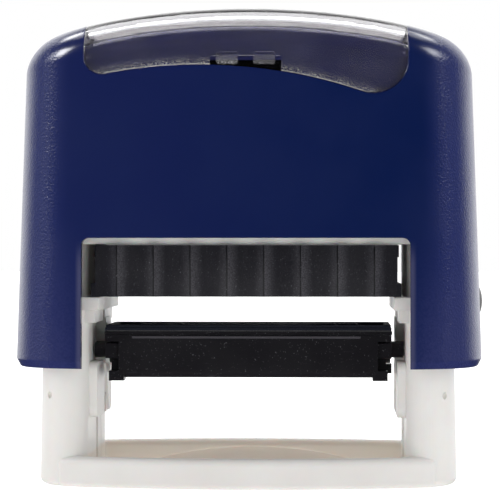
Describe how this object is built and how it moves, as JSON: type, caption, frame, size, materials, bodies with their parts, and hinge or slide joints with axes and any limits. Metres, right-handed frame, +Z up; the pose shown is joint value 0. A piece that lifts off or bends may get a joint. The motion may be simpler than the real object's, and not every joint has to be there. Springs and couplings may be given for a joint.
{
  "type": "self-inking stamp",
  "caption": "Self-inking hand stamp: press-down cap, lock button, flipping platen with a rubber die, slide-out ink cartridge.",
  "frame": {"origin": "the middle of the footprint, on the paper that the foot pads stand on", "axes": "+X along the line of text towards the lock button, the front with the cartridge's grip faces -Y, +Z up out of the cap's top"},
  "size_m": [0.0626, 0.036, 0.0623],
  "materials": {
    "cap_blue": "fine spark-eroded grain with a smoother front panel",
    "window_clear": "clear gloss plastic",
    "base_white": "satin moulded plastic",
    "yoke_grey": "satin moulded plastic",
    "foot_white": "matt",
    "card_ivory": "plain card",
    "steel": "bright drawn wire",
    "spring_leaf": "bright strip",
    "button_grey": "glossy",
    "platen_black": "satin moulded plastic",
    "axle_black": "smooth",
    "cartridge_black": "satin moulded plastic",
    "foam_grey": "closed-cell foam tape",
    "die_rubber": "engraved rubber",
    "felt_ink": "ink-soaked felt"
  },
  "bodies": {
    "base": {"base_frame": "base_white", "pad_housing": "base_white", "foot_pads": "foot_white", "return_spring": "steel"},
    "cap": {"cap_shell": "cap_blue", "yoke": "yoke_grey", "index_card": "card_ivory", "lock_leaf_spring": "spring_leaf"},
    "window": {"index_window": "window_clear"},
    "button": {"lock_button": "button_grey"},
    "platen": {"platen_carrier": "platen_black", "axle_left": "axle_black", "axle_right": "axle_black", "flip_cam_left": "platen_black", "flip_cam_right": "platen_black"},
    "die_plate": {"text_plate": "platen_black", "adhesive_foam": "foam_grey", "rubber_die": "die_rubber"},
    "cartridge": {"cartridge_tray": "cartridge_black", "ink_felt": "felt_ink"}
  },
  "joints": [
    {"name": "cap_press", "type": "slide", "parent": "base", "child": "cap", "axis": [0, 0, -1], "range_m": [0, 0.0141], "stiffness_N_per_m": 320, "springref_m": -0.01, "deforming": ["return_spring"]},
    {"name": "platen_flip", "type": "hinge", "parent": "cap", "child": "platen", "pos_m": [0, 0, 0.0175], "axis": [-1, 0, 0], "range_deg": [0, 180]},
    {"name": "text_plate_release", "type": "slide", "parent": "platen", "child": "die_plate", "axis": [0, 0, 1], "range_m": [0, 0.003]},
    {"name": "cartridge_slide", "type": "slide", "parent": "base", "child": "cartridge", "axis": [0, 1, 0], "range_m": [-0.022, 0]},
    {"name": "window_lift", "type": "slide", "parent": "cap", "child": "window", "axis": [0, 0, 1], "range_m": [0, 0.012]},
    {"name": "lock_press", "type": "slide", "parent": "cap", "child": "button", "axis": [1, 0, 0], "range_m": [0, 0.0012]}
  ],
  "couplings": [
    {"joint": "platen_flip", "follows": "cap_press", "rad_per_m": 222.81}
  ]
}
